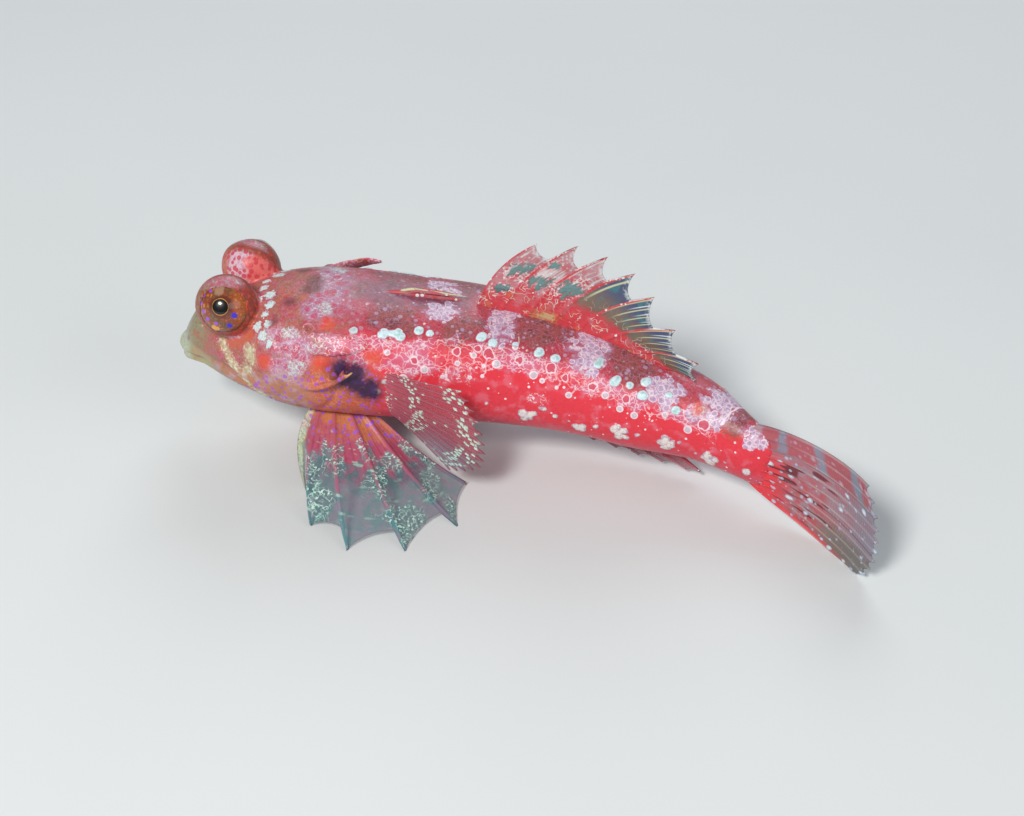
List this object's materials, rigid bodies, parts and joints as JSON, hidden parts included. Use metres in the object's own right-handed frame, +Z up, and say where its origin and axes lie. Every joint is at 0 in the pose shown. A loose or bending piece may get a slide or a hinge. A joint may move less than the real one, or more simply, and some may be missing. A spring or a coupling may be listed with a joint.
{
  "type": "red dragonet fish model",
  "caption": "Life-size still model of a small red reef dragonet resting on its spread pelvic fins and tail fin, head up, dorsal fin raised and tail bent to its left.",
  "frame": {"origin": "the middle of the bounding box's bottom, on the floor that the fish rests on", "axes": "the fish's length runs mostly along X with its head towards -X, its left side faces -Y, +Z is up"},
  "size_m": [0.0632, 0.0424, 0.022],
  "materials": {
    "skin": "scaleless red skin with white, lavender and brown markings, satin",
    "fin": "thin red and grey fin web with pale dotted rays, satin",
    "eye": "glossy orange-brown eye with a black pupil"
  },
  "bodies": {
    "root": {"head": "skin", "trunk": "skin", "tail": "skin", "caudal_peduncle": "skin", "eye_left": "eye", "eye_right": "eye", "first_dorsal_fin": "fin", "second_dorsal_fin": "fin", "anal_fin": "fin", "caudal_fin": "fin", "pectoral_fin_left": "fin", "pectoral_fin_right": "fin", "pelvic_fin_left": "fin", "pelvic_fin_right": "fin"}
  },
  "joints": []
}
